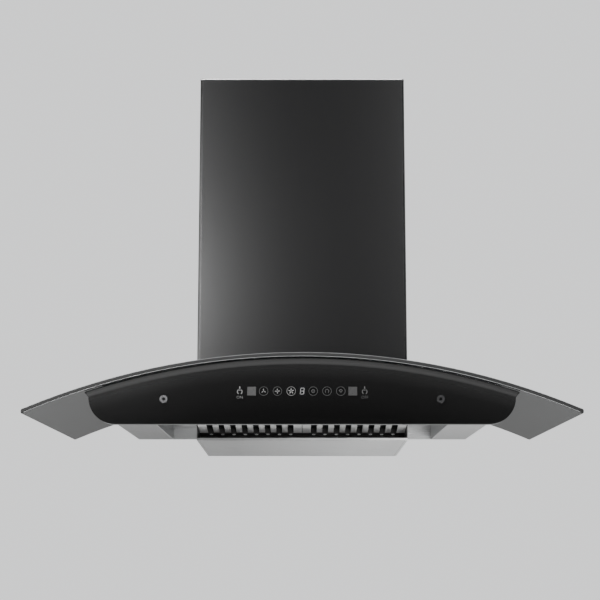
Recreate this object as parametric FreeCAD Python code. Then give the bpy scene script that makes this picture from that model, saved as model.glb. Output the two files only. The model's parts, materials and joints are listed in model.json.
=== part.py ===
import FreeCAD, Part
import math
import os

# Wall-mounted curved-glass chimney hood, in millimetres.
# X is the width, Y the depth with the wall at Y = 0 and the front towards -Y, Z is up.
# The origin is the middle of the two wall bolts, on the wall.

V = FreeCAD.Vector

# Curved glass canopy
glass_width = 900.0
glass_depth = 477.0
glass_wall_gap = 3.0
glass_thick = 7.0
glass_radius = 1140.0
glass_corner = 4.0
glass_edge = 2.2
bolt_rise = 193.0
glass_window_width = 290.0
glass_window_depth = 226.0
glass_hole_radius = 4.5
glass_seal = 1.0
glass_seal_width = 10.0
seal_fit = 0.05

# Steel body under the glass
sheet = 1.2
body_half = 322.0
body_drop = 98.0
body_front_gap = 0.3
wing_width = 68.0
front_flange = 8.0
seat = 0.3

# Front control panel
panel_half_top = 350.0
panel_corner = 43.0
panel_half_bottom = 299.0
panel_drop = 116.0
panel_depth = 14.0
panel_skin = 4.0
panel_setback = 3.0
panel_under_glass = 1.5
panel_bevel_height = 13.0
panel_bevel_depth = 8.0
panel_rim = 12.0
panel_screw_x = 221.5
panel_screw_rise = 40.0
panel_screw_head = 6.4
panel_screw_proud = 2.0
panel_screw_shank = 2.5
panel_screw_socket = 2.2
backplate_thick = 1.5

# Touch electronics
key_row_rise = 53.0
key_pitch = 22.1
key_radius = 7.4
key_first = 17.6
pad_thick = 1.2
board_thick = 1.6
board_half = 120.0
board_height = 34.0
sensor_x = 81.0
sensor_side = 14.0
display_width = 10.0
display_height = 16.0

# Suction box, oil tray and its runners
box_half = 183.0
box_front_gap = 22.2
box_back = 27.0
tray_overhang = 58.0
tray_rim_drop = 122.0
tray_front_drop = 126.0
tray_rear_drop = 133.0
tray_rear_lip = 5.0
tray_sheet = 0.8
tray_hem = 9.0
rail_height = 14.0
rail_inset = 10.8
box_flange = 12.0
box_screw_inset = 59.0
box_screw_back = 93.0
rail_foot = 1.1
rail_foot_width = 8.0
rail_web = 1.2
rail_setback = 5.0

# Two baffle filters
filter_rear_drop = 107.0
filter_slope = 0.19
filter_length = 196.0
filter_thick = 12.0
filter_side_gap = 0.8
filter_rail = 15.0
filter_side_rail = 14.65
filter_slots = 8
bar_width = 9.6
bar_height = 4.2
bar_sheet = 0.8
cap_width = 15.0
cap_height = 4.2
tab_length = 8.0
tab_width = 14.0
tab_thick = 1.2
tab_bead = 1.6
tab_gap = 3.0
sill_height = 24.0
sill_slot = 7.0
drain_radius = 1.6
latch_width = 24.0
latch_thick = 1.2
latch_length = 18.0
latch_tip = 8.0
latch_travel = 6.0
latch_grip_width = 16.0
latch_grip_thick = 3.5
latch_grip_start = 3.0
latch_slot_fit = 0.5
bar_tuck = 2.0
filter_sheet = 0.8
filter_seam = 1.0
front_plate_rise = 38.0
latch_grip_height = 7.0

# Lamps in the wings
lamp_radius = 25.0
lamp_inset = 61.2
lamp_depth = 14.0
lamp_flange = 3.0
lamp_flange_thick = 1.0
lens_thick = 2.0
lamp_board_thick = 1.6

# Blower housing on top of the glass
housing_half = 165.0
housing_depth = 267.7
housing_back = 2.3
housing_top = 57.0
housing_foot = 14.0
outlet_y = 148.0
wall_bolt_spacing = 260.0
wall_bolt_radius = 4.0
bracket_height = 40.0
bracket_end = 20.0
bracket_thick = 2.0
hook_half = 12.0
hook_x = 70.0
hook_rise = 8.0
hook_reach = 4.0

# Scroll, wheel and motor
scroll_x = -45.0
scroll_z = -72.0
scroll_radius = 104.0
scroll_step = 9.0
scroll_wall = 2.5
scroll_front = 215.0
scroll_back = 85.0
neck_left = 60.0
neck_right = 72.5
neck_bend_z = 10.0
tongue_angle = 60.0
inlet_radius = 76.0
inlet_lip = 10.0
inlet_flange = 10.0
wheel_radius = 95.0
wheel_eye = 78.0
wheel_blades = 36
wheel_blade = 1.0
wheel_front = 204.0
wheel_back = 98.0
wheel_disc_thick = 2.5
wheel_hub = 12.0
wheel_hub_length = 32.0
wheel_ring = 3.0
wheel_vent_radius = 9.0
wheel_vents = 6
shaft_radius = 4.0
shaft_front = 140.0
shaft_back = 14.0
running_fit = 0.05
motor_radius = 48.0
motor_back = 20.0
motor_flange = 58.0
motor_flange_thick = 3.0
motor_boss_radius = 15.0
motor_boss_length = 12.0
bearing_radius = 11.0
bearing_width = 7.0
nut_radius = 7.0
nut_thick = 6.0
wheel_vent_circle = 45.0
blade_sweep = 8.0
blade_lead = 2.0
inlet_wall = 2.0
clip_z = -150.0
clip_y = 40.0
clip_half = 10.0
clip_thick = 1.5
clip_screw = 6.0
posts_inset = 6.0
post_radius = 2.5
post_height = 4.0
bolt_access = 9.0
motor_screw_pcd = 104.0
motor_screw_radius = 2.0
motor_screws_count = 4

# Outlet collar and its two damper flaps
collar_radius = 75.0
collar_wall = 2.5
collar_height = 62.0
collar_flange = 15.0
collar_flange_thick = 3.0
collar_stop = 5.0
collar_stop_thick = 1.5
flap_rise = 24.0
flap_thick = 1.2
flap_gap = 1.2
flap_offset = 4.5
flap_barrel = 3.0
pin_radius = 1.5

# Duct covers
cover_half = 185.0
cover_front = 291.0
cover_sheet = 1.0
cover_bend = 5.0
cover_top = 340.0
cover_flange = 15.0
cover_wall_gap = 1.0
inner_gap = 1.5
inner_clear = 11.0
inner_top_gap = 2.0
cover_bracket_drop = 28.0
cover_bracket_height = 24.0
cover_bracket_spacing = 200.0
cover_bracket_hole = 3.0
cover_bracket_sheet = 1.5
cover_bracket_half = 160.0
cover_bracket_leg = 12.0
cover_bracket_ear = 30.0

# Electrics above the blower
box_x = 100.0
box_y = 60.0
box_size_x = 52.0
box_size_y = 90.0
box_size_z = 36.0
box_wall = 2.0
capacitor_radius = 17.5
capacitor_length = 58.0
capacitor_x = -128.0
capacitor_y = 225.0
strap_width = 12.0
strap_thick = 1.0
gland_radius = 8.0
gland_bore = 3.6
gland_nut = 11.0
gland_nut_thick = 5.0
gland_length = 16.0
terminal_width = 26.0
terminal_depth = 14.0
terminal_height = 12.0

# Small fasteners
screw_head = 4.0
screw_head_thick = 2.2
screw_shank = 2.0
screw_length = 8.0
over = 5.0

# Places that follow from the sizes above
glass_top = -bolt_rise
arc_centre = glass_top - glass_radius
glass_front = glass_wall_gap + glass_depth
glass_low = glass_radius - glass_thick
body_radius = glass_low - glass_seal
body_z = glass_top - body_drop
panel_z = glass_top - panel_drop
panel_front = glass_front - panel_setback
body_front = panel_front - panel_depth - backplate_thick - body_front_gap
tray_rim_z = glass_top - tray_rim_drop
wing_inner = body_half - wing_width
rail_reach = filter_length + tab_gap
box_front = body_front - box_front_gap
filter_rear = box_front - rail_reach
tray_front = filter_rear + tray_overhang
lamp_front = body_front - lamp_inset
box_screw_x = box_half + box_flange / 2
box_screw_rows = (box_front - box_screw_inset, box_back + box_screw_back)
box_screw_places = [(side * box_screw_x, -y) for side in (-1, 1) for y in box_screw_rows]
housing_front = housing_back + housing_depth
bracket_half = wall_bolt_spacing / 2 + bracket_end
collar_half = collar_radius + collar_flange
cover_bracket_z = cover_top - cover_bracket_drop
lamp_x = body_half - wing_width / 2


def arc_z(x, radius):
    """Height of an arc about the glass's centre line, at x."""
    return arc_centre + math.sqrt(radius * radius - x * x)


def block(x0, x1, y0, y1, z0, z1):
    """Box between two corners, given in any order."""
    low = V(min(x0, x1), min(y0, y1), min(z0, z1))
    return Part.makeBox(abs(x1 - x0), abs(y1 - y0), abs(z1 - z0), low)


def rod(radius, start, along):
    """Round bar from start, along a vector."""
    return Part.makeCylinder(radius, along.Length, start, along)


def tube(outer, inner, start, along):
    """Round tube from start, along a vector."""
    return rod(outer, start, along).cut(rod(inner, start, along))


def prism(points, along):
    """Flat outline with straight sides, swept along a vector."""
    wire = Part.makePolygon(points + points[:1])
    return Part.Face(wire).extrude(along)


def fused(shapes):
    """One solid from overlapping or touching pieces."""
    return shapes[0].multiFuse(shapes[1:]).removeSplitter()


def both(shape):
    """The piece and its mirror image across X = 0."""
    return [shape, shape.mirror(V(0, 0, 0), V(1, 0, 0))]


def arch(half, radius, low, y0, y1):
    """Block with an arched top, from x = -half to half and y0 to y1."""
    left = V(-half, y0, low)
    right = V(half, y0, low)
    left_top = V(-half, y0, arc_z(half, radius))
    right_top = V(half, y0, arc_z(half, radius))
    crown = V(0, y0, arc_centre + radius)
    edges = [Part.makeLine(left_top, left), Part.makeLine(left, right), Part.makeLine(right, right_top)]
    edges.append(Part.Arc(right_top, crown, left_top).toShape())
    return Part.Face(Part.Wire(edges)).extrude(V(0, y1 - y0, 0))


def arc_sheet(half, outer, inner, y0, y1):
    """Curved sheet between two radii, from y0 to y1."""
    low = arc_z(half, inner) - over
    floor = arch(half + over, inner, low - over, y0 - over, y1 + over)
    return arch(half, outer, low, y0, y1).cut(floor)


def screw(start, along, length=screw_length):
    """Round-headed screw: start is under the head, along points into the work."""
    way = V(along).normalize()
    body = rod(screw_shank, start, way * length)
    cap = rod(screw_head, start - way * screw_head_thick, way * screw_head_thick)
    return body.fuse(cap).removeSplitter()


pieces = {}


def keep(name, *shapes):
    """Store one named piece, as one solid or as a group of like ones."""
    solids = [solid for shape in shapes for solid in shape.Solids]
    pieces[name] = solids[0] if len(solids) == 1 else Part.makeCompound(solids)


# Canopy, body pan and control panel
window_half = glass_window_width / 2
window_y = -(housing_front + housing_back) / 2
window_near = window_y - glass_window_depth / 2
window_far = window_y + glass_window_depth / 2
foot_x = housing_half + housing_foot / 2
foot_spread = glass_window_depth / 3
foot_places = [(side * foot_x, window_y + along * foot_spread) for side in (-1, 1) for along in (-1, 1)]
foot_radius = glass_radius + glass_seal
window_cut = block(-window_half, window_half, window_near, window_far, body_z, glass_top + over)


def foot_holes(radius):
    """Four upright drillings through the feet, the glass and the body's top."""
    return [rod(radius, V(x, y, body_z + over), V(0, 0, body_drop + over)) for x, y in foot_places]


def make_glass():
    glass = arc_sheet(glass_width / 2, glass_radius, glass_low, -glass_front, -glass_wall_gap)
    upright = [e for e in glass.Edges if e.BoundBox.YLength < seat and e.BoundBox.XLength < seat]
    glass = glass.makeFillet(glass_corner, upright)
    glass = glass.makeFillet(glass_edge, [e for face in rounded_sides(glass) for e in face.Edges])
    keep("glass_canopy", glass.cut(window_cut).cut(fused(foot_holes(glass_hole_radius))))


def rounded_sides(glass):
    """The curved top and bottom faces of the canopy, whose rims are ground round."""
    broad = sorted(glass.Faces, key=lambda face: face.Area)
    return broad[-2:]


def seal_ring(outer, inner, half):
    ring = arc_sheet(half, outer, inner, window_near - glass_seal_width, window_far + glass_seal_width)
    return ring.cut(window_cut)


def make_glass_seals():
    above = seal_ring(foot_radius - seal_fit, glass_radius + seal_fit, housing_half + housing_foot)
    below = seal_ring(glass_low - seal_fit, body_radius + seal_fit, housing_half + housing_foot)
    holes = fused(foot_holes(glass_hole_radius))
    keep("glass_gasket", above.cut(holes), below.cut(holes))


def make_body_pan():
    inner_half = body_half - sheet
    inner_radius = body_radius - sheet
    outer = arch(body_half, body_radius, body_z, -body_front, 0)
    pan = outer.cut(arch(inner_half, inner_radius, body_z - over, sheet - body_front, -sheet))
    room = arch(inner_half, inner_radius, body_z, sheet - body_front, -sheet)
    wall = block(wing_inner, wing_inner + sheet, -body_front, 0, body_z, glass_top).common(room)
    floor = block(wing_inner, body_half, -body_front, 0, body_z, body_z + sheet)
    lamp_hole = rod(lamp_radius + seat, V(lamp_x, -lamp_front, body_z - over), V(0, 0, body_drop / 2))
    front = block(-wing_inner, wing_inner, -body_front, front_flange - body_front, body_z, body_z + sheet)
    rims = [piece for shape in (wall, floor.cut(lamp_hole)) for piece in both(shape)]
    pan = fused([pan, front] + rims)
    cuts = [window_cut] + foot_holes(screw_shank + seat)
    cuts += both(panel_screw_hole(panel_screw_shank + seat))
    cuts += [rod(screw_shank + seat, V(x, y, body_z), V(0, 0, body_drop)) for x, y in box_screw_places]
    keep("body_pan", pan.cut(fused(cuts)))


def panel_screw_hole(radius):
    start = V(panel_screw_x, -panel_front - over, panel_z + panel_screw_rise)
    return rod(radius, start, V(0, panel_depth + backplate_thick + over * 3, 0))


def panel_outline(inset, y):
    """Arched panel outline with round lower corners, drawn inside its edge by inset."""
    radius = glass_low - panel_under_glass - inset
    corner = panel_corner - inset
    low = panel_z + inset
    top_x = panel_half_top - inset
    turn = V(panel_half_bottom, y, low + corner)
    knee = V(turn.x + corner, y, turn.z)
    dip = V(turn.x + corner * math.sin(math.pi / 4), y, turn.z - corner * math.cos(math.pi / 4))
    foot = V(turn.x, y, low)
    tip = V(top_x, y, arc_z(top_x, radius))
    crown = V(0, y, arc_centre + radius)
    flip = [V(-p.x, p.y, p.z) for p in (tip, knee, dip, foot)]
    edges = [Part.Arc(flip[0], crown, tip).toShape(), Part.makeLine(tip, knee)]
    edges += [Part.Arc(knee, dip, foot).toShape(), Part.makeLine(foot, flip[3])]
    edges += [Part.Arc(flip[3], flip[2], flip[1]).toShape(), Part.makeLine(flip[1], flip[0])]
    return Part.Face(Part.Wire(edges))


def make_front_panel():
    plate = panel_outline(0, -panel_front).extrude(V(0, panel_depth, 0))
    crown = glass_low - panel_under_glass
    bend = math.sin(math.pi / 4)
    start, middle, end, *rest = [V(0, y - panel_front, arc_centre + r) for r, y in (
        (crown - panel_bevel_height, 0),
        (crown - panel_bevel_height * (1 - bend), panel_bevel_depth * (1 - bend)),
        (crown, panel_bevel_depth),
        (crown + over, panel_bevel_depth),
        (crown + over, -over),
        (crown - panel_bevel_height, -over))]
    roll = Part.Arc(start, middle, end).toShape()
    outside = [Part.makeLine(a, b) for a, b in zip([end] + rest, rest + [start])]
    wire = Part.Wire([roll] + outside)
    plate = plate.cut(Part.Face(wire).revolve(V(0, 0, arc_centre), V(0, 1, 0), 360))
    pocket = panel_outline(panel_rim, panel_skin - panel_front).extrude(V(0, panel_depth, 0))
    boss = rod(panel_screw_head + seat, V(panel_screw_x, -panel_front, panel_z + panel_screw_rise),
               V(0, panel_depth, 0))
    pocket = pocket.cut(fused(both(boss)))
    cuts = [pocket] + both(panel_screw_hole(panel_screw_shank + seat))
    cuts += both(key_block(sensor_x, sensor_side / 2, sensor_side / 2, panel_depth, -over))
    cuts += [key_block(0, display_width / 2, display_height / 2, panel_depth, -over)]
    for cut in cuts:
        plate = plate.cut(cut)
    keep("front_panel", plate)


def key_block(x, half_x, half_z, depth, start):
    """Block let into the panel's face, centred on the row of keys."""
    z = panel_z + key_row_rise
    return block(x - half_x, x + half_x, start - panel_front, depth - panel_front, z - half_z, z + half_z)


def make_panel_parts():
    plate_y = panel_depth - panel_front
    backplate = panel_outline(panel_rim / 2, plate_y).extrude(V(0, backplate_thick, 0))
    keep("panel_backplate", backplate.cut(fused(both(panel_screw_hole(panel_screw_shank + seat)))))
    z = panel_z + panel_screw_rise
    length = panel_depth + backplate_thick + sheet * 3
    bolt = rod(panel_screw_shank, V(panel_screw_x, -panel_front, z), V(0, length, 0))
    head = rod(panel_screw_head, V(panel_screw_x, -panel_front, z), V(0, -panel_screw_proud, 0))
    socket = rod(panel_screw_socket, V(panel_screw_x, -panel_front - over, z), V(0, over, 0))
    keep("panel_screws", *both(bolt.fuse(head).removeSplitter().cut(socket)))
    fit = running_fit
    window = key_block(sensor_x, sensor_side / 2 - fit, sensor_side / 2 - fit, panel_skin + pad_thick, 0)
    keep("sensor_windows", *both(window))
    glow = key_block(0, display_width / 2 - fit, display_height / 2 - fit, panel_skin + pad_thick, 0)
    keep("display_module", glow)
    z = panel_z + key_row_rise
    pads = []
    for step in range(3):
        x = key_first + key_pitch * step
        pads += both(rod(key_radius, V(x, panel_skin - panel_front, z), V(0, pad_thick, 0)))
    keep("touch_pads", *pads)
    board_start = panel_skin + pad_thick
    board = key_block(0, board_half, board_height / 2, board_start + board_thick, board_start)
    keep("touch_board", board)


# Suction box, oil tray, filters and lamps
slope_angle = math.atan(filter_slope)
pivot = V(0, -filter_rear, glass_top - filter_rear_drop)
side_inner = box_half - sheet
box_low = tray_rim_z + seat
plate_radius = body_radius - sheet


def slope_z(y, lift):
    """Height of a line beside the filters' middle plane, at depth y."""
    return pivot.z + lift / math.cos(slope_angle) + (pivot.y - y) * filter_slope


def make_suction_box():
    room = arch(box_half, plate_radius, box_low - over, -box_front, -box_back)
    under = filter_thick / 2
    side = [(-box_front, glass_top), (-box_front, slope_z(-box_front, -under))]
    side += [(-tray_front, slope_z(-tray_front, -under)), (-tray_front, box_low)]
    side += [(-box_back, box_low), (-box_back, glass_top)]
    wall = prism([V(side_inner, y, z) for y, z in side], V(sheet, 0, 0)).common(room)
    back = block(-box_half, box_half, -box_back - sheet, -box_back, box_low, glass_top).common(room)
    front_low = pivot.z + front_plate_rise
    front = block(-box_half, box_half, -box_front, sheet - box_front, front_low, glass_top).common(room)
    sill_low = pivot.z - sill_height / 2
    sill = block(-side_inner, side_inner, pivot.y - sheet / 2, pivot.y + sheet / 2, sill_low,
                 sill_low + sill_height)
    flange = arc_sheet(box_half + box_flange, plate_radius, plate_radius - sheet, -box_front, -box_back)
    flange = flange.cut(block(-side_inner, side_inner, -glass_front, 0, body_z, glass_top))
    box = fused(both(wall) + [back, front, sill, flange])
    cuts = []
    for x in tab_places + [-x for x in tab_places]:
        half = tab_width / 2 + latch_slot_fit
        low = pivot.z - tab_bead - latch_slot_fit
        cuts.append(block(x - half, x + half, pivot.y - over, pivot.y + over, low, low + sill_slot))
    half = latch_width / 2 + latch_slot_fit
    notch_top = slope_z(-box_front, latch_thick / 2 + seat) + seat
    for x in (filter_middle, -filter_middle):
        cuts.append(block(x - half, x + half, -box_front - over, over - box_front,
                          front_low - over, notch_top))
    cuts += [rod(screw_shank + seat, V(x, y, body_z), V(0, 0, body_drop)) for x, y in box_screw_places]
    keep("suction_box", box.cut(fused(cuts)))
    screws = []
    for x, y in box_screw_places:
        low = arc_z(abs(x) + screw_head, plate_radius - sheet)
        screws.append(screw(V(x, y, low), V(0, 0, 1), sheet * 2))
    keep("suction_box_screws", *screws)


def make_tray():
    front_z = glass_top - tray_front_drop
    rear_z = glass_top - tray_rear_drop
    outer = [(-tray_front, tray_rim_z), (-tray_front, front_z)]
    outer += [(-box_back, rear_z), (-box_back, tray_rim_z)]
    inner = [(tray_sheet - tray_front, tray_rim_z + over), (tray_sheet - tray_front, front_z + tray_sheet)]
    inner += [(-box_back - tray_sheet, rear_z + tray_sheet), (-box_back - tray_sheet, tray_rim_z + over)]
    body = prism([V(-box_half, y, z) for y, z in outer], V(box_half * 2, 0, 0))
    inside = box_half - tray_sheet
    body = body.cut(prism([V(-inside, y, z) for y, z in inner], V(inside * 2, 0, 0)))
    body = body.cut(block(-inside, inside, -box_back - over, over,
                          rear_z + tray_rear_lip, tray_rim_z + over))
    hem_x = box_half - tray_hem
    hem = block(hem_x, box_half, -tray_front, -box_back, tray_rim_z - tray_sheet, tray_rim_z)
    keep("oil_tray", fused([body] + both(hem)))


def make_tray_rails():
    foot_top = tray_rim_z - tray_sheet - seat
    foot_low = foot_top - rail_foot
    web_x = side_inner - rail_inset
    front = pivot.y + rail_setback
    back = -box_back - sheet - rail_setback
    web = block(web_x, web_x + rail_web, front, back, foot_low, foot_low + rail_height)
    foot = block(web_x, web_x + rail_foot_width, front, back, foot_low, foot_top)
    top = block(web_x, side_inner, front, back, foot_low + rail_height - rail_web, foot_low + rail_height)
    keep("tray_rails", *both(fused([web, foot, top])))


filter_low_x = filter_seam / 2
filter_high_x = side_inner - filter_side_gap
filter_middle = (filter_low_x + filter_high_x) / 2
slots_span = filter_high_x - filter_low_x - filter_side_rail * 2
filter_pitch = (slots_span + bar_width) / filter_slots
tab_places = [filter_low_x + filter_pitch * 2, filter_high_x - filter_pitch * 2]
slot_width = filter_pitch - bar_width
half_thick = filter_thick / 2


def flat(x0, x1, v0, v1, w0, w1):
    """Block in a filter's own frame: v runs up the slope from the pivot, w is its thickness."""
    return block(x0, x1, -v0, -v1, w0, w1)


def laid(shape):
    """Filter piece turned to the slope and set at its pivot."""
    placed = shape.copy()
    placed.rotate(V(0, 0, 0), V(1, 0, 0), -math.degrees(slope_angle))
    placed.translate(pivot)
    return placed


def channel(x, width, height, base, up):
    """Bent baffle strip with its web at w = base and its legs towards up."""
    v0 = tab_gap + filter_rail - bar_tuck
    v1 = rail_reach - filter_rail + bar_tuck
    outer = flat(x - width / 2, x + width / 2, v0, v1, base, base + up * height)
    inside = width / 2 - bar_sheet
    start = base + up * bar_sheet
    return outer.cut(flat(x - inside, x + inside, v0 - over, v1 + over, start, start + up * height))


def make_filter(side, mirror):
    x0, x1 = filter_low_x, filter_high_x
    v0, v1 = tab_gap, rail_reach
    lip = half_thick - filter_sheet
    frame = flat(x0, x1, v0, v1, -half_thick, half_thick)
    hole = flat(x0 + filter_side_rail, x1 - filter_side_rail, v0 + filter_rail, v1 - filter_rail,
                -filter_thick, filter_thick)
    hollow = flat(x0 + filter_sheet, x1 - filter_sheet, v0 + filter_sheet, v1 - filter_sheet, -lip, lip)
    frame = frame.cut(hole).cut(hollow)
    slot_half = latch_width / 2 + latch_slot_fit
    tongue_slot = flat(filter_middle - slot_half, filter_middle + slot_half, v1 - over, v1 + over,
                       -latch_thick / 2 - latch_slot_fit, latch_thick / 2 + latch_slot_fit)
    grip_v1 = v1 - latch_grip_start
    grip_v0 = grip_v1 - latch_grip_thick
    grip_half = latch_grip_width / 2
    grip_slot = flat(filter_middle - grip_half - latch_slot_fit, filter_middle + grip_half + latch_slot_fit,
                     grip_v0 - latch_travel - latch_slot_fit, grip_v1 + latch_slot_fit, -filter_thick, 0)
    frame = frame.cut(tongue_slot).cut(grip_slot)
    tabs = [flat(x - tab_width / 2, x + tab_width / 2, v0 + filter_sheet - tab_length, v0 + filter_sheet,
                 -tab_thick / 2, tab_thick / 2) for x in tab_places]
    beads = [rod(tab_bead, V(x - tab_width / 2, 0, 0), V(tab_width, 0, 0)) for x in tab_places]
    frame = fused([frame] + tabs + beads)
    bars = []
    caps = []
    first = x0 + filter_side_rail + slot_width / 2
    for step in range(filter_slots):
        x = first + filter_pitch * step
        caps.append(channel(x, cap_width, cap_height, lip, -1))
        drain = rod(drain_radius, V(x, -v0 - filter_rail / 2, -filter_thick), V(0, 0, filter_thick))
        frame = frame.cut(drain)
        if step < filter_slots - 1:
            bars.append(channel(x + filter_pitch / 2, bar_width, bar_height, -lip, 1))
    tongue = flat(filter_middle - latch_width / 2, filter_middle + latch_width / 2,
                  v1 + latch_tip - latch_length, v1 + latch_tip, -latch_thick / 2, latch_thick / 2)
    grip = flat(filter_middle - grip_half, filter_middle + grip_half, grip_v0, grip_v1,
                -half_thick - latch_grip_height, 0)
    groups = {"filter_frame_": [frame], "filter_bars_": bars, "filter_caps_": caps,
              "filter_latch_": [fused([tongue, grip])]}
    for name, shapes in groups.items():
        placed = [laid(shape) for shape in shapes]
        keep(name + side, *[both(shape)[1 if mirror else 0] for shape in placed])


def make_lamps():
    centre = V(lamp_x, -lamp_front, body_z)
    cup = rod(lamp_radius, centre, V(0, 0, lamp_depth))
    flange = rod(lamp_radius + lamp_flange, centre, V(0, 0, -lamp_flange_thick))
    bore = lamp_radius - sheet
    low = centre - V(0, 0, lamp_flange_thick)
    cup = cup.fuse(flange).cut(rod(bore, low, V(0, 0, lamp_depth + lamp_flange_thick - sheet)))
    keep("lamp_housings", *both(cup.removeSplitter()))
    keep("lamp_lenses", *both(rod(bore, low + V(0, 0, lamp_flange_thick / 2), V(0, 0, lens_thick))))
    board = rod(bore - sheet, centre + V(0, 0, lamp_depth - sheet - lamp_board_thick),
                V(0, 0, lamp_board_thick))
    keep("lamp_boards", *both(board))


# Blower housing, scroll, wheel, motor and outlet
axis_front = V(0, -1, 0)
wheel_centre = V(scroll_x, 0, scroll_z)
duct_centre = V(0, -outlet_y, housing_top)
collar_corner_shares = [(x, y) for x in (-1, 1) for y in (-1, 1)]


def make_wall_bracket():
    half = bracket_height / 2
    plate = block(-bracket_half, bracket_half, -bracket_thick, 0, -half, half)
    for x in (-wall_bolt_spacing / 2, wall_bolt_spacing / 2):
        plate = plate.cut(rod(wall_bolt_radius, V(x, over, 0), V(0, -over * 2, 0)))
    tip = -bracket_thick - hook_reach
    leg = block(hook_x - hook_half, hook_x + hook_half, tip, -bracket_thick, -bracket_thick, 0)
    lip = block(hook_x - hook_half, hook_x + hook_half, tip, tip + clip_thick, -bracket_thick, hook_rise)
    hooks = both(fused([leg, lip]))
    keep("wall_bracket", fused([plate] + hooks))


def make_blower_housing():
    lower = arch(housing_half + over, foot_radius, body_z - over, -housing_front - over, over)
    outer = block(-housing_half, housing_half, -housing_front, -housing_back, body_z, housing_top)
    inner_half = housing_half - sheet
    inner = block(-inner_half, inner_half, sheet - housing_front, -housing_back - sheet, body_z,
                  housing_top - sheet)
    box = outer.cut(inner).cut(lower)
    feet = arc_sheet(housing_half + housing_foot, foot_radius + sheet, foot_radius,
                     -housing_front, -housing_back)
    feet = feet.cut(block(-inner_half, inner_half, -glass_front, 0, body_z, housing_top))
    box = fused([box, feet])
    cuts = foot_holes(screw_shank + seat)
    cuts.append(rod(collar_radius - collar_wall, duct_centre - V(0, 0, over), V(0, 0, over * 2)))
    cuts += [rod(screw_shank + seat, spot - V(0, 0, over), V(0, 0, over * 2))
             for spot in collar_screws_at()]
    half = hook_half + latch_slot_fit
    cuts += both(block(hook_x - half, hook_x + half, -housing_back - over, 0,
                       -hook_rise - bracket_thick * 2, seat))
    cuts += both(rod(bolt_access, V(wall_bolt_spacing / 2, 0, 0), V(0, -housing_back - over, 0)))
    for cut in cuts:
        box = box.cut(cut)
    keep("blower_housing", box)
    screws = []
    for x, y in foot_places:
        top = arc_z(abs(x) - screw_head, foot_radius + sheet)
        screws.append(screw(V(x, y, top), V(0, 0, -1), glass_thick + glass_seal * 2 + sheet * 4))
    keep("glass_screws", *screws)


def collar_screws_at():
    reach = collar_half - screw_head - sheet
    return [duct_centre + V(x * reach, y * reach, 0) for x, y in collar_corner_shares]


def scroll_point(angle, inset):
    """Point on the scroll's growing radius, at an angle from +X towards +Z."""
    grown = scroll_radius + scroll_step * max(0.0, angle - 90.0) / 90.0 - inset
    turn = math.radians(angle)
    return V(scroll_x + grown * math.cos(turn), 0, scroll_z + grown * math.sin(turn))


def scroll_face(inset):
    marks = [tongue_angle, 90.0, 180.0, 270.0, 360.0]
    edges = []
    for low, high in zip(marks, marks[1:]):
        ends = [scroll_point(angle, inset) for angle in (low, (low + high) / 2, high)]
        edges.append(Part.Arc(*ends).toShape())
    edges.append(Part.makeLine(scroll_point(marks[-1], inset), scroll_point(marks[0], inset)))
    return Part.Face(Part.Wire(edges))


def neck_face(inset):
    top = housing_top - sheet - seat
    tongue = scroll_point(tongue_angle, 0)
    side = scroll_point(360.0, 0)
    points = [side, V(side.x, 0, neck_bend_z), V(neck_right, 0, top), V(-neck_left, 0, top), tongue]
    wire = Part.makePolygon(points + points[:1])
    if inset:
        wire = wire.makeOffset2D(-inset)
    return Part.Face(wire)


def make_scroll():
    width = V(0, scroll_front - scroll_back, 0)
    start = V(0, -scroll_front, 0)
    shell = fused([scroll_face(0).extrude(width), neck_face(0).extrude(width)])
    thin = width - V(0, scroll_wall * 2, 0)
    hollow = fused([scroll_face(scroll_wall).extrude(thin), neck_face(scroll_wall).extrude(thin)])
    hollow.translate(V(0, scroll_wall, 0))
    shell = shell.cut(hollow)
    shell.translate(start)
    top = housing_top - sheet - seat
    mouth = block(scroll_wall * 2 - neck_left, neck_right - scroll_wall * 2, scroll_wall - scroll_front,
                  -scroll_back - scroll_wall, top - scroll_wall * 2, top + over)
    shell = shell.cut(mouth)
    eye = rod(inlet_radius + inlet_wall, wheel_centre + axis_front * (scroll_front + over),
              V(0, over * 2, 0))
    hub = rod(motor_boss_radius + seat, wheel_centre + axis_front * (scroll_back + over), V(0, over * 2, 0))
    shell = shell.cut(eye).cut(hub)
    for spot in motor_screws_at():
        shell = shell.cut(rod(motor_screw_radius, spot + axis_front * over, V(0, over * 2, 0)))
    split = (scroll_front + scroll_back) / 2
    near = block(-glass_width, glass_width, -glass_front, -split, body_z, housing_top)
    keep("volute_front", shell.common(near))
    keep("volute_rear", shell.cut(near))
    ring = tube(inlet_radius + inlet_wall, inlet_radius,
                wheel_centre + axis_front * (scroll_front - inlet_lip),
                axis_front * (inlet_lip + inlet_wall))
    face = tube(inlet_radius + inlet_wall + inlet_flange, inlet_radius,
                wheel_centre + axis_front * scroll_front, axis_front * inlet_wall)
    keep("inlet_ring", fused([ring, face]))


def motor_screws_at():
    places = []
    for step in range(motor_screws_count):
        turn = math.radians(45 + 360 / motor_screws_count * step)
        reach = motor_screw_pcd / 2
        places.append(wheel_centre + V(reach * math.cos(turn), -scroll_back, reach * math.sin(turn)))
    return places


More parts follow.
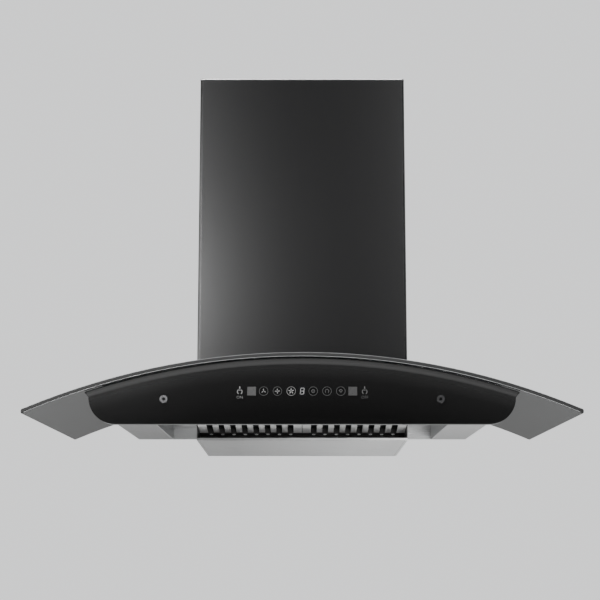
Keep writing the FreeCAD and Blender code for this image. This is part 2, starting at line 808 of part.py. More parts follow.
def make_wheel():
    disc = rod(wheel_radius, wheel_centre + axis_front * wheel_back, axis_front * wheel_disc_thick)
    hub = rod(wheel_hub, wheel_centre + axis_front * wheel_back, axis_front * wheel_hub_length)
    ring = tube(wheel_radius, wheel_radius - wheel_ring,
                wheel_centre + axis_front * (wheel_front - wheel_ring), axis_front * wheel_ring)
    blades = []
    middle = (wheel_eye + wheel_radius) / 2
    for step in range(wheel_blades):
        base = 360 / wheel_blades * step
        path = [(wheel_eye, base), (middle, base + blade_lead)]
        path.append((wheel_radius - sheet / 2, base + blade_sweep))
        thick = math.degrees(wheel_blade / middle)
        outline = path + [(reach, angle + thick) for reach, angle in reversed(path)]
        points = []
        for reach, angle in outline:
            turn = math.radians(angle)
            points.append(wheel_centre + V(reach * math.cos(turn), -wheel_back, reach * math.sin(turn)))
        blades.append(prism(points, axis_front * (wheel_front - wheel_back)))
    wheel = fused([disc, hub, ring] + blades)
    bore = rod(shaft_radius + running_fit, wheel_centre, axis_front * glass_front)
    wheel = wheel.cut(bore)
    for step in range(wheel_vents):
        turn = math.radians(360 / wheel_vents * step)
        spot = V(wheel_vent_circle * math.cos(turn), -wheel_back + over, wheel_vent_circle * math.sin(turn))
        wheel = wheel.cut(rod(wheel_vent_radius, wheel_centre + spot, axis_front * over * 2))
    keep("impeller", wheel)
    nut_start = wheel_centre + axis_front * (wheel_back + wheel_hub_length)
    keep("impeller_nut", tube(nut_radius, shaft_radius + running_fit, nut_start, axis_front * nut_thick))
    keep("motor_shaft", rod(shaft_radius, wheel_centre + axis_front * shaft_back,
                            axis_front * (shaft_front - shaft_back)))


def make_motor():
    body = rod(motor_radius, wheel_centre + axis_front * motor_back,
               axis_front * (scroll_back - motor_back))
    flange = rod(motor_flange, wheel_centre + axis_front * (scroll_back - motor_flange_thick),
                 axis_front * motor_flange_thick)
    boss = rod(motor_boss_radius, wheel_centre + axis_front * scroll_back, axis_front * motor_boss_length)
    body = fused([body, flange, boss])
    front_end = scroll_back + motor_boss_length
    body = body.cut(rod(shaft_radius + screw_shank, wheel_centre, axis_front * glass_front))
    bearings = []
    for start in (motor_back, front_end - bearing_width):
        seat_start = wheel_centre + axis_front * start
        body = body.cut(rod(bearing_radius, seat_start, axis_front * bearing_width))
        bearings.append(tube(bearing_radius, shaft_radius + running_fit, seat_start,
                             axis_front * bearing_width))
    for spot in motor_screws_at():
        body = body.cut(rod(motor_screw_radius + seat, spot + axis_front * over, V(0, over * 2, 0)))
    keep("motor_body", body)
    keep("motor_bearings", *bearings)
    length = motor_flange_thick + scroll_wall
    keep("motor_screws", *[screw(spot + V(0, motor_flange_thick, 0), axis_front, length)
                           for spot in motor_screws_at()])


def make_outlet():
    inner = collar_radius - collar_wall
    flange = block(-collar_half, collar_half, -outlet_y - collar_half, collar_half - outlet_y,
                   housing_top, housing_top + collar_flange_thick)
    flap_low = housing_top + flap_rise
    stop_top = flap_low - seat
    stop = tube(collar_radius, inner - collar_stop,
                duct_centre + V(0, 0, flap_rise - seat - collar_stop_thick), V(0, 0, collar_stop_thick))
    gap = flap_offset + flap_barrel + flap_gap
    stop = stop.cut(block(-gap, gap, -glass_front, 0, housing_top, stop_top + over))
    wall = rod(collar_radius, duct_centre, V(0, 0, collar_height))
    bore = rod(inner, duct_centre - V(0, 0, over), V(0, 0, collar_height + over * 2))
    collar = flange.fuse(wall).cut(bore)
    collar = collar.fuse(stop)
    hinge_z = flap_low + flap_thick / 2
    pin_start = V(flap_offset, -outlet_y - collar_radius + collar_wall / 2, hinge_z)
    pin_way = V(0, collar_radius * 2 - collar_wall, 0)
    pins = both(rod(pin_radius, pin_start, pin_way))
    collar = collar.cut(fused(both(rod(pin_radius + running_fit, pin_start, pin_way))))
    for spot in collar_screws_at():
        collar = collar.cut(rod(screw_shank + seat, spot - V(0, 0, over), V(0, 0, over * 2)))
    keep("outlet_collar", collar.removeSplitter())
    keep("damper_pins", *pins)
    keep("collar_screws", *[screw(spot + V(0, 0, collar_flange_thick), V(0, 0, -1))
                            for spot in collar_screws_at()])
    reach = inner - flap_gap
    disc = rod(reach, V(0, -outlet_y, flap_low), V(0, 0, flap_thick))
    leaf = disc.common(block(flap_offset, collar_radius, -glass_front, 0, housing_top, flap_low + over))
    half = math.sqrt(reach * reach - gap * gap)
    barrel = rod(flap_barrel, V(flap_offset, -outlet_y - half, hinge_z), V(0, half * 2, 0))
    bore = rod(pin_radius + running_fit, pin_start, pin_way)
    flap = leaf.fuse(barrel).cut(bore).removeSplitter()
    right, left = both(flap)
    keep("damper_flap_right", right)
    keep("damper_flap_left", left)


# Duct covers and the electrics above the blower
def u_shell(half, front, back, low, high):
    """Sheet cover open at the wall, with round front bends."""
    outer = block(-half, half, -front, -back, low, high)
    bends = [e for e in outer.Edges if e.BoundBox.ZLength > over and e.BoundBox.YMax < -over]
    outer = outer.makeFillet(cover_bend, bends)
    inner = block(cover_sheet - half, half - cover_sheet, cover_sheet - front, over,
                  low - over, high + over)
    bends = [e for e in inner.Edges if e.BoundBox.ZLength > over and e.BoundBox.YMax < -over]
    inner = inner.makeFillet(cover_bend - cover_sheet, bends)
    flange = block(half - cover_flange, half, -back - cover_sheet, -back, low, high)
    return fused([outer.cut(inner)] + both(flange))


def make_covers():
    cover = u_shell(cover_half, cover_front, cover_wall_gap, body_z, cover_top)
    under = arch(cover_half + over, glass_radius + seat, body_z - over, -cover_front - over, over)
    hole = rod(screw_shank + seat, V(cover_half + over, -clip_y, clip_z), V(-over * 2, 0, 0))
    keep("duct_cover_lower", cover.cut(under).cut(fused(both(hole))))
    inner_half = cover_half - cover_sheet - inner_gap
    inner_front = cover_front - cover_sheet - inner_gap
    inner_back = cover_wall_gap + cover_sheet + seat
    high = cover_top - inner_top_gap
    low = clip_z + clip_half + inner_clear
    keep("duct_cover_upper", u_shell(inner_half, inner_front, inner_back, low, high))
    ear_x = inner_half - cover_sheet - seat
    low_z = cover_bracket_z - cover_bracket_height / 2
    high_z = low_z + cover_bracket_height
    thick = cover_bracket_sheet
    strip = block(-cover_bracket_half, cover_bracket_half, -thick, 0, low_z, high_z)
    leg = block(cover_bracket_half - thick, cover_bracket_half, -cover_bracket_leg, 0, low_z, high_z)
    arm = block(cover_bracket_half - thick, ear_x, -cover_bracket_leg, thick - cover_bracket_leg,
                low_z, high_z)
    ear = block(ear_x - thick, ear_x, -cover_bracket_ear, thick - cover_bracket_leg, low_z, high_z)
    bracket = fused([strip] + both(leg) + both(arm) + both(ear))
    for x in (-cover_bracket_spacing / 2, cover_bracket_spacing / 2):
        bracket = bracket.cut(rod(cover_bracket_hole, V(x, over, cover_bracket_z), V(0, -over * 2, 0)))
    keep("cover_bracket", bracket)
    outer_x = cover_half - cover_sheet
    low = clip_z - clip_half
    foot = block(housing_half, housing_half + clip_thick, -clip_y - clip_half, clip_half - clip_y, low,
                 clip_z + clip_half)
    web = block(housing_half, outer_x, -clip_y - clip_half, clip_half - clip_y, low, low + clip_thick)
    tab = block(outer_x - clip_thick, outer_x, -clip_y - clip_half, clip_half - clip_y,
                low, clip_z + clip_half)
    clip = fused([foot, web, tab]).cut(hole)
    keep("cover_clips", *both(clip))
    keep("cover_screws", *both(screw(V(cover_half, -clip_y, clip_z), V(-1, 0, 0), clip_screw)))


def make_electrics():
    x1 = box_x + box_size_x
    y0 = -box_y - box_size_y
    top = housing_top + box_size_z
    case = block(box_x, x1, y0, -box_y, housing_top, top)
    case = case.cut(block(box_x + box_wall, x1 - box_wall, y0 + box_wall, -box_y - box_wall,
                          housing_top + box_wall, top + over))
    middle = V(box_x + box_size_x / 2, -box_y, housing_top + box_size_z / 2)
    case = case.cut(rod(gland_radius, middle - V(0, over, 0), V(0, over * 2, 0)))
    posts = []
    inset = box_wall + posts_inset
    for x in (box_x + inset, x1 - inset):
        for y in (y0 + inset, -box_y - inset - gland_length / 2):
            posts.append(rod(post_radius, V(x, y, housing_top + box_wall), V(0, 0, post_height)))
    keep("control_box", fused([case] + posts))
    keep("control_box_lid", block(box_x, x1, y0, -box_y, top, top + box_wall))
    board_z = housing_top + box_wall + post_height
    near = box_wall + posts_inset / 2
    keep("control_board", block(box_x + near, x1 - near, y0 + near, -box_y - near - gland_length / 2,
                                board_z, board_z + board_thick))
    block_z = board_z + board_thick
    keep("terminal_block", block(middle.x - terminal_width / 2, middle.x + terminal_width / 2,
                                 y0 + inset, y0 + inset + terminal_depth, block_z, block_z + terminal_height))
    body = rod(gland_radius, middle - V(0, gland_length / 2, 0), V(0, gland_length, 0))
    outside = rod(gland_nut, middle, V(0, gland_nut_thick, 0))
    inside = rod(gland_nut, middle - V(0, box_wall, 0), V(0, -gland_nut_thick, 0))
    gland = fused([body, outside, inside])
    keep("cable_gland", gland.cut(rod(gland_bore, middle - V(0, glass_depth / 2, 0), V(0, glass_depth, 0))))
    stand = V(capacitor_x, -capacitor_y, housing_top)
    keep("capacitor", rod(capacitor_radius, stand, V(0, 0, capacitor_length)))
    strap = tube(capacitor_radius + strap_thick, capacitor_radius, stand, V(0, 0, strap_width))
    tab_x = capacitor_x + capacitor_radius
    tab = block(tab_x + strap_thick / 2, tab_x + strap_width, -capacitor_y - strap_width / 2,
                strap_width / 2 - capacitor_y, housing_top, housing_top + strap_thick)
    keep("capacitor_strap", fused([strap, tab]))


def main():
    make_glass()
    make_glass_seals()
    make_body_pan()
    make_front_panel()
    make_panel_parts()
    make_suction_box()
    make_tray()
    make_tray_rails()
    make_filter("right", False)
    make_filter("left", True)
    make_lamps()
    make_wall_bracket()
    make_blower_housing()
    make_scroll()
    make_wheel()
    make_motor()
    make_outlet()
    make_covers()
    make_electrics()
    os.makedirs("parts", exist_ok=True)
    for name, shape in pieces.items():
        print(name, len(shape.Solids), shape.isValid(), round(shape.Volume))
        shape.exportStep("parts/" + name + ".step")


main()
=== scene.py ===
import json
import math

import bmesh
import bpy
from mathutils import Matrix, Vector


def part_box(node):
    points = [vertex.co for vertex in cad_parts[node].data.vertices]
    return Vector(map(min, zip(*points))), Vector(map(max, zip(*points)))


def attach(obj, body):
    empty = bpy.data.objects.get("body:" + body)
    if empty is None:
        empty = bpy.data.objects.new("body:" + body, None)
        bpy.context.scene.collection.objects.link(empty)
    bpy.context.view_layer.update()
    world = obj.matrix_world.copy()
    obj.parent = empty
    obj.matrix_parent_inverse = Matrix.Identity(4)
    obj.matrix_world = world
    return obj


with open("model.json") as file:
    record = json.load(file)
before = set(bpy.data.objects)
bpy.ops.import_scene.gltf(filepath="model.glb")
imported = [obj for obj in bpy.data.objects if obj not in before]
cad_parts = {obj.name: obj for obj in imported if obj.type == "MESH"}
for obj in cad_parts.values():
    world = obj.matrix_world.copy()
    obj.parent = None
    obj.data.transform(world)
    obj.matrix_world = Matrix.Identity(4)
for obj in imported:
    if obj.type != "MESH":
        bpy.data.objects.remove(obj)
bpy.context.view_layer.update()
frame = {"nodes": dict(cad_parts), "record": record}
nodes = frame["nodes"]
MM = 0.001

# The glass's arc and the panel's face, which most of the trim follows
GLASS_RADIUS = 1140.0 * MM
GLASS_THICK = 7.0 * MM

glass_low, glass_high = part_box("glass_canopy")
display_low, display_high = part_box("display_module")
arc_centre_z = glass_high.z - GLASS_RADIUS
under_radius = GLASS_RADIUS - GLASS_THICK
face_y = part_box("front_panel")[0].y
key_z = (display_low.z + display_high.z) / 2


def arc_height(radius, x):
    """Height of an arc about the glass's centre, at a place beside its crown."""
    return arc_centre_z + math.sqrt(radius * radius - x * x)


# Materials

# Scales of the noise along X, Y and Z: a small one draws the grain out along its axis
FINE_X = (12.0, 1400.0, 1400.0)
FINE_Y = (1400.0, 12.0, 1400.0)
FINE_Z = (1400.0, 1400.0, 12.0)
SOFT_Z = (260.0, 260.0, 5.0)
WAVES = (3.0, 3.0, 3.0)
HAZE = (4.0, 4.0, 4.0)
CLOUD = (9.0, 9.0, 9.0)
SPANGLE = (60.0, 60.0, 60.0)
WEAVE = (80.0, 80.0, 80.0)
PEBBLE = (900.0, 900.0, 900.0)
GRAIN_DETAIL = 4.0
CLOUD_DETAIL = 2.0
GRAIN_SHARE = 0.6
CLOUD_SHARE = 0.4
NOISE_BAND = (0.3, 0.7)
RELIEF = 0.5 * MM

# Each finish: base colour, metallic, roughness and noise scales, then how much its grain changes
# the roughness, the tint and the bump
BRUSHED_STEEL = ((0.64, 0.645, 0.65), 0.88, 0.32, FINE_X, 0.06, 0.06, 0.03)
FINISHES = {
    "satin_black_steel": ((0.003, 0.003, 0.0032), 0.0, 0.25, SOFT_Z, 0.002, 0.03, 0.0),
    "black_gloss": ((0.003, 0.003, 0.0031), 0.0, 0.1, WAVES, 0.02, 0.1, 0.0),
    "stainless": BRUSHED_STEEL,
    # Brushed steel of the tray, with painted light: darker on the left and lighter on the right
    "tray_steel_painted_light": BRUSHED_STEEL,
    # Brushed steel of the pan, with painted shade under the left wing and painted light towards the front
    "pan_steel_painted_light_shade": BRUSHED_STEEL,
    "baffle_steel": ((0.72, 0.72, 0.72), 0.4, 0.4, FINE_Y, 0.08, 0.08, 0.03),
    # Dark steel that paints the shade inside the filters' upper channels and in the tray's crease
    "shaded_steel": ((0.05, 0.05, 0.052), 1.0, 0.55, FINE_Y, 0.08, 0.1, 0.03),
    "screw_chrome": ((0.09, 0.09, 0.092), 1.0, 0.24, PEBBLE, 0.05, 0.04, 0.01),
    "zinc_steel": ((0.5, 0.51, 0.52), 1.0, 0.38, SPANGLE, 0.1, 0.15, 0.04),
    "coated_steel": ((0.018, 0.018, 0.018), 0.0, 0.5, PEBBLE, 0.08, 0.15, 0.12),
    "motor_metal": ((0.55, 0.55, 0.56), 1.0, 0.45, PEBBLE, 0.1, 0.1, 0.15),
    "capacitor_case": ((0.66, 0.66, 0.67), 1.0, 0.3, FINE_Z, 0.08, 0.06, 0.03),
    "black_plastic": ((0.02, 0.02, 0.021), 0.0, 0.55, PEBBLE, 0.08, 0.15, 0.1),
    "grey_plastic": ((0.26, 0.26, 0.27), 0.0, 0.5, PEBBLE, 0.08, 0.08, 0.1),
    "seal_rubber": ((0.014, 0.014, 0.014), 0.0, 0.75, PEBBLE, 0.1, 0.2, 0.2),
    "circuit_board": ((0.015, 0.12, 0.05), 0.0, 0.35, WEAVE, 0.06, 0.3, 0.05),
    "sensor_lens": ((0.03, 0.03, 0.03), 0.0, 0.3, PEBBLE, 0.04, 0.05, 0.02),
    "display_lens": ((0.008, 0.008, 0.009), 0.0, 0.1, PEBBLE, 0.02, 0.1, 0.0),
    "lamp_lens": ((0.85, 0.85, 0.83), 0.0, 0.4, PEBBLE, 0.08, 0.03, 0.1),
    "smoked_glass": ((0.05, 0.052, 0.054), 0.0, 0.03, HAZE, 0.01, 0.03, 0.0),
    "ground_edge": ((0.012, 0.0121, 0.0123), 0.0, 0.55, PEBBLE, 0.05, 0.05, 0.01),
    # Grey beads that paint the glints along the glass's two front arrises
    "arris_top_painted_glint": ((0.16, 0.162, 0.165), 0.2, 0.3, PEBBLE, 0.05, 0.04, 0.01),
    "arris_low_painted_glint": ((0.3, 0.305, 0.31), 0.3, 0.25, PEBBLE, 0.05, 0.04, 0.01),
    # Light bare steel of the cover's top edge, which also paints the highlight along it
    "bare_edge_and_highlight": ((0.62, 0.62, 0.63), 1.0, 0.3, PEBBLE, 0.06, 0.06, 0.02),
}
SOCKETS = {
    "satin_black_steel": {"Specular IOR Level": 0.45},
    "black_gloss": {"Specular IOR Level": 0.4},
    "panel_gloss_painted_sheen": {"Specular IOR Level": 0.4},
    "panel_band_painted_sheen": {"Specular IOR Level": 0.1},
    "ground_edge": {"Specular IOR Level": 0.25},
    "lamp_lens": {"Transmission Weight": 0.35},
    "smoked_glass": {"Transmission Weight": 0.92, "IOR": 1.5, "Specular IOR Level": 0.3,
                     "Specular Tint": (0.09, 0.09, 0.093, 1)},
    "floor": {"Emission Color": (1, 1, 1, 1), "Emission Strength": 0.12},
}
LEGEND_TONES = {"legend_faint": 0.025, "legend_grey": 0.037, "legend_pale": 0.12, "legend_white": 0.17}
LEGEND_FINISH = (0.0, 0.5, PEBBLE, 0.05, 0.05, 0.02)

# Nodes whose look isn't that of their slot's plain finish: the filters' caps in dark steel as painted
# shade, the panel with a painted sheen, and the tray and the pan with painted light and shade
NODE_LOOKS = {"filter_caps_left": "shaded_steel", "filter_caps_right": "shaded_steel",
              "front_panel": "panel_gloss_painted_sheen", "oil_tray": "tray_steel_painted_light", "body_pan": "pan_steel_painted_light_shade"}

# The two finishes of the panel, and pairs of a share of the painted sheen's depth below the glass and
# the tone there
PANEL_BLACK = (0.004, 0.004, 0.0041)
PANEL_ROUGHNESS = {"panel_band_painted_sheen": 0.8, "panel_gloss_painted_sheen": 0.1}
SHEEN_DEPTH = 90.0 * MM
SHEEN_SHARES = ((0.0, 0.014), (0.045, 0.0395), (0.1, 0.032), (0.155, 0.0125), (0.4, 0.006), (1.0, 0.003))

# Places along an axis and the shares of the plain tone there, which paint light and shade into the colour;
# in the pan's first pair, only the underside of the left wing lies below the sloping plane
ALONG_X = (1, 0, 0)
ALONG_Y = (0, 1, 0)
WING_SLOPE = (1, 0, 20)
# Painted light on the tray: darker on the left and lighter on the right
TRAY_PLACES = (-125.0 * MM, 125.0 * MM)
TRAY_LIGHT_SHARES = (0.7, 1.53)
# Painted shade on the underside of the pan's left wing
WING_PLACES = (-6076.0 * MM, -6074.5 * MM)
WING_SHADE_SHARES = (0.4, 1.0)
# Painted light and shade on the pan: lighter at the front and darker towards the rear
PAN_PLACES = (-460.0 * MM, -30.0 * MM)
PAN_LIGHT_SHADE_SHARES = (1.4, 0.95)
# Painted shade on the glass: lighter at the front edge and darker towards the rear
GLASS_SHADE_PLACES = (-480.0 * MM, 0.0)
GLASS_SHADE_SHARES = (1.3, 0.15)


def node_material(name, base, metallic, roughness):
    """Principled material with plain values on its own sockets."""
    material = bpy.data.materials.new(name)
    material.use_nodes = True
    shader = material.node_tree.nodes["Principled BSDF"]
    shader.inputs["Base Color"].default_value = (*base, 1)
    shader.inputs["Metallic"].default_value = metallic
    shader.inputs["Roughness"].default_value = roughness
    for socket, value in SOCKETS.get(name, {}).items():
        shader.inputs[socket].default_value = value
    return material, shader


def map_range(tree, source, places, results=(0.0, 1.0)):
    """Node that turns a value between two places into one between two results."""
    span = tree.nodes.new("ShaderNodeMapRange")
    span.inputs["From Min"].default_value, span.inputs["From Max"].default_value = places
    span.inputs["To Min"].default_value, span.inputs["To Max"].default_value = results
    tree.links.new(source, span.inputs["Value"])
    return span


def vector_math(tree, operation, source, constant=None):
    """Vector Math node on a socket and, for most operations, a constant."""
    step = tree.nodes.new("ShaderNodeVectorMath")
    step.operation = operation
    tree.links.new(source, step.inputs[0])
    if constant:
        step.inputs[1].default_value = constant
    return step


def colour_mix(tree, factor, first, second):
    """Mix node between two plain colours."""
    mix = tree.nodes.new("ShaderNodeMix")
    mix.data_type = "RGBA"
    mix.inputs["A"].default_value = (*first, 1)
    mix.inputs["B"].default_value = (*second, 1)
    tree.links.new(factor, mix.inputs["Factor"])
    return mix


def stretched_noise(tree, stretch, detail):
    """Noise over the object's own coordinates, drawn out along an axis."""
    place = tree.nodes.new("ShaderNodeTexCoord")
    mapping = tree.nodes.new("ShaderNodeMapping")
    mapping.inputs["Scale"].default_value = stretch
    noise = tree.nodes.new("ShaderNodeTexNoise")
    noise.inputs["Scale"].default_value = 1.0
    noise.inputs["Detail"].default_value = detail
    tree.links.new(place.outputs["Object"], mapping.inputs["Vector"])
    tree.links.new(mapping.outputs["Vector"], noise.inputs["Vector"])
    return noise.outputs["Fac"]


def grained(name, base, metallic, roughness, stretch, swing, tint, bump):
    """Surface with a grain in its colour, roughness and bump."""
    material, shader = node_material(name, base, metallic, roughness)
    tree = material.node_tree
    grain = stretched_noise(tree, stretch, GRAIN_DETAIL)
    cloud = stretched_noise(tree, CLOUD, CLOUD_DETAIL)
    rough = map_range(tree, grain, NOISE_BAND, (roughness - swing, roughness + swing))
    tree.links.new(rough.outputs["Result"], shader.inputs["Roughness"])
    both = tree.nodes.new("ShaderNodeMath")
    both.operation = "ADD"
    for socket, noise, share in zip(both.inputs, (grain, cloud), (GRAIN_SHARE, CLOUD_SHARE)):
        tree.links.new(map_range(tree, noise, NOISE_BAND, (0.0, share)).outputs["Result"], socket)
    darker = [value * (1 - tint) for value in base]
    lighter = [min(1.0, value * (1 + tint)) for value in base]
    mix = colour_mix(tree, both.outputs["Value"], darker, lighter)
    tree.links.new(mix.outputs["Result"], shader.inputs["Base Color"])
    relief = tree.nodes.new("ShaderNodeBump")
    relief.inputs["Strength"].default_value = bump
    relief.inputs["Distance"].default_value = RELIEF
    tree.links.new(grain, relief.inputs["Height"])
    tree.links.new(relief.outputs["Normal"], shader.inputs["Normal"])
    return material


def arc_painted_sheen(name, roughness):
    """Black finish with a painted sheen, a little lighter towards the glass's arc above it."""
    material, shader = node_material(name, PANEL_BLACK, 0.0, roughness)
    tree = material.node_tree
    place = tree.nodes.new("ShaderNodeTexCoord")
    shift = vector_math(tree, "SUBTRACT", place.outputs["Object"], (0, 0, arc_centre_z))
    flat = vector_math(tree, "MULTIPLY", shift.outputs["Vector"], (1, 0, 1))
    reach = vector_math(tree, "LENGTH", flat.outputs["Vector"])
    below = map_range(tree, reach.outputs["Value"], (under_radius, under_radius - SHEEN_DEPTH))
    ramp = tree.nodes.new("ShaderNodeValToRGB")
    stops = ramp.color_ramp.elements
    while len(stops) < len(SHEEN_SHARES):
        stops.new(0.5)
    for stop, (position, tone) in zip(stops, SHEEN_SHARES):
        stop.position = position
        stop.color = (tone, tone, tone, 1)
    tree.links.new(below.outputs["Result"], ramp.inputs["Fac"])
    tree.links.new(ramp.outputs["Color"], shader.inputs["Base Color"])
    return material


def shade_along(material, axis, places, shares):
    """Paints light or shade into a material's colour, which changes evenly along an axis between two
    places.
    """
    tree = material.node_tree
    shader = next(node for node in tree.nodes if node.type == "BSDF_PRINCIPLED")
    colour = shader.inputs["Base Color"].links[0].from_socket
    place = tree.nodes.new("ShaderNodeTexCoord")
    along = vector_math(tree, "DOT_PRODUCT", place.outputs["Object"], axis)
    share = map_range(tree, along.outputs["Value"], places, shares)
    tone = vector_math(tree, "SCALE", colour)
    tree.links.new(share.outputs["Result"], tone.inputs["Scale"])
    tree.links.new(tone.outputs["Vector"], shader.inputs["Base Color"])


def build_materials():
    """All finishes by name, with those that change along the object shaded."""
    made = {name: grained(name, *finish) for name, finish in FINISHES.items()}
    for name, tone in LEGEND_TONES.items():
        made[name] = grained(name, (tone, tone, tone), *LEGEND_FINISH)
    # Painted sheen on the panel and its band, lighter towards the glass's arc
    for name, roughness in PANEL_ROUGHNESS.items():
        made[name] = arc_painted_sheen(name, roughness)
    # Painted light on the tray, lighter towards the right
    shade_along(made["tray_steel_painted_light"], ALONG_X, TRAY_PLACES, TRAY_LIGHT_SHARES)
    # Painted shade on the underside of the left wing
    shade_along(made["pan_steel_painted_light_shade"], WING_SLOPE, WING_PLACES, WING_SHADE_SHARES)
    # Painted light and shade along the pan's depth, darker towards the rear
    shade_along(made["pan_steel_painted_light_shade"], ALONG_Y, PAN_PLACES, PAN_LIGHT_SHADE_SHARES)
    # Painted shade on the glass, darker towards the rear
    shade_along(made["smoked_glass"], ALONG_Y, GLASS_SHADE_PLACES, GLASS_SHADE_SHARES)
    return made


materials = build_materials()


def dress_nodes():
    """Gives each CAD node its own look, or else the finish named like its slot."""
    for row in frame["record"]["subparts"]:
        piece = nodes[row["node"]]
        piece.data.materials.clear()
        look = NODE_LOOKS.get(row["node"], row["material_slot"])
        piece.data.materials.append(materials[look])


# Geometry helpers
BEAD_STEPS = 2
OVAL_STEPS = 14


def new_piece(name, mesh, material, body="hood"):
    """Links a mesh as a piece of the object that rides on a body."""
    piece = bpy.data.objects.new(name, mesh)
    bpy.context.scene.collection.objects.link(piece)
    piece.data.materials.append(materials[material])
    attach(piece, body)


def mesh_from(bm, name):
    """Mesh of what a bmesh holds, which is then freed."""
    mesh = bpy.data.meshes.new(name)
    bm.to_mesh(mesh)
    bm.free()
    return mesh


def mesh_of_curve(curve, name):
    """Mesh of a curve or a word with its thickness."""
    holder = bpy.data.objects.new(name + "_line", curve)
    bpy.context.scene.collection.objects.link(holder)
    mesh = bpy.data.meshes.new_from_object(holder)
    bpy.data.objects.remove(holder)
    mesh.name = name
    return mesh


def prisms(name, outlines, y0, y1):
    """Mesh of flat outlines in X and Z, each made into a thin plate between y0 and y1."""
    bm = bmesh.new()
    for outline in outlines:
        near, far = [[bm.verts.new((x, y, z)) for x, z in outline] for y in (y0, y1)]
        bm.faces.new(near)
        bm.faces.new(list(reversed(far)))
        for i in range(len(outline)):
            j = (i + 1) % len(outline)
            bm.faces.new((near[j], near[i], far[i], far[j]))
    bmesh.ops.recalc_face_normals(bm, faces=bm.faces)
    return mesh_from(bm, name)


def bead(name, points, radius, material, body="hood", closed=False):
    """Round bead along a list of points, as a mesh piece."""
    curve = bpy.data.curves.new(name, "CURVE")
    curve.dimensions = "3D"
    curve.bevel_depth = radius
    curve.bevel_resolution = BEAD_STEPS
    spline = curve.splines.new("POLY")
    spline.points.add(len(points) - 1)
    for point, place in zip(spline.points, points):
        point.co = (*place, 1)
    spline.use_cyclic_u = closed
    new_piece(name, mesh_of_curve(curve, name), material, body)


def arc_band(x, z, radius, width, start, end, steps):
    """Outlines of short plates that follow an arc, from start to end in degrees."""
    outlines = []
    for i in range(steps):
        angles = [math.radians(start + (end - start) * (i + k) / steps) for k in (0, 1)]
        inner = [(x + (radius - width) * math.cos(a), z + (radius - width) * math.sin(a)) for a in angles]
        outer = [(x + radius * math.cos(a), z + radius * math.sin(a)) for a in reversed(angles)]
        outlines.append(inner + outer)
    return outlines


def ellipse(x, z, half_x, half_z, count=OVAL_STEPS):
    """Outline of an ellipse about x, z."""
    steps = [2 * math.pi * i / count for i in range(count)]
    return [(x + half_x * math.cos(a), z + half_z * math.sin(a)) for a in steps]


def rectangle(x0, z0, x1, z1):
    """Outline of a rectangle between two corners."""
    return [(x0, z0), (x1, z0), (x1, z1), (x0, z1)]


def turned(outline, x, z, angle):
    """Outline turned about its own origin and moved to x, z."""
    cos, sin = math.cos(angle), math.sin(angle)
    return [(x + px * cos - pz * sin, z + px * sin + pz * cos) for px, pz in outline]


# Legends printed on the panel
LEGEND_OUT = 0.15 * MM
LEGEND_IN = 0.05 * MM
KEY_X = (17.6 * MM, 39.7 * MM, 61.8 * MM)
RING_RADIUS = 7.3 * MM
RING_WIDTH = 0.6 * MM
RING_STEPS = 48
SIGN_STEPS = 20
STROKE = 0.7 * MM

FAN_REACH = (4.6 * MM, 4.2 * MM, 3.9 * MM)
BLADE_HALF_WIDTH = 0.75 * MM
BLADE_CENTRE_SHARE = 0.58
BLADE_LENGTH_SHARE = 0.42
BLADE_LEAN_SHARE = 0.25
HUB_SHARE = 0.45

LAMP_RADIUS = 2.9 * MM
LAMP_DOT = 0.8 * MM

POWER_RADIUS = 3.2 * MM
POWER_START = -40
POWER_END = 220
POWER_STEPS = 18
FOOT_X = 2.2 * MM
FOOT_TOP = 0.8 * MM
FOOT_BOTTOM = 2.8 * MM

ARROW_HALF = 3.1 * MM
ARROW_STROKE = 0.75 * MM
ARROW_RISE = 1.3 * MM
ARROW_DROP = 2.6 * MM
ARROW_TIP_SHARE = 1.4
ARROW_BAR_SHARE = 0.6

HAND_X = 100.0 * MM
FINGER_RISE = 4.8 * MM
FINGER_HALF = (1.1 * MM, 3.0 * MM)
KNUCKLE_RISE = 2.2 * MM
KNUCKLE_HALF = (2.2 * MM, 1.4 * MM)
PALM_DROP = 1.0 * MM
PALM_RADIUS = 4.5 * MM
PALM_WIDTH = 1.4 * MM
PALM_START = -62
PALM_END = 242

WORD_DROP = 12.2 * MM
WORD_SIZE = 6.6 * MM
WORD_THIN = 0.12 * MM
WORD_STEPS = 3

DIGIT_WIDTH = 6.6 * MM
DIGIT_HEIGHT = 10.6 * MM
DIGIT_LEAN = 0.09
SEGMENT = 1.05 * MM
SEGMENT_GAP_SHARE = 0.12


def fan_sign(x, blades, reach):
    """Blades set evenly round a hub."""
    width = BLADE_HALF_WIDTH
    blade = ellipse(reach * BLADE_CENTRE_SHARE, width * BLADE_LEAN_SHARE, reach * BLADE_LENGTH_SHARE, width)
    outlines = [turned(blade, x, key_z, 2 * math.pi * i / blades + math.pi / 2) for i in range(blades)]
    return outlines + [ellipse(x, key_z, width * HUB_SHARE, width * HUB_SHARE)]


def lamp_sign(x):
    """A ring round a dot."""
    ring = arc_band(x, key_z, LAMP_RADIUS, STROKE, 0, 360, SIGN_STEPS)
    return ring + [ellipse(x, key_z, LAMP_DOT, LAMP_DOT)]


def power_sign(x):
    """A ring that is open below, with a short upright bar at each end."""
    ring = arc_band(x, key_z, POWER_RADIUS, STROKE, POWER_START, POWER_END, POWER_STEPS)
    feet = [rectangle(foot_x - STROKE / 2, key_z - FOOT_BOTTOM, foot_x + STROKE / 2, key_z - FOOT_TOP)
            for foot_x in (x - FOOT_X, x + FOOT_X)]
    return ring + feet


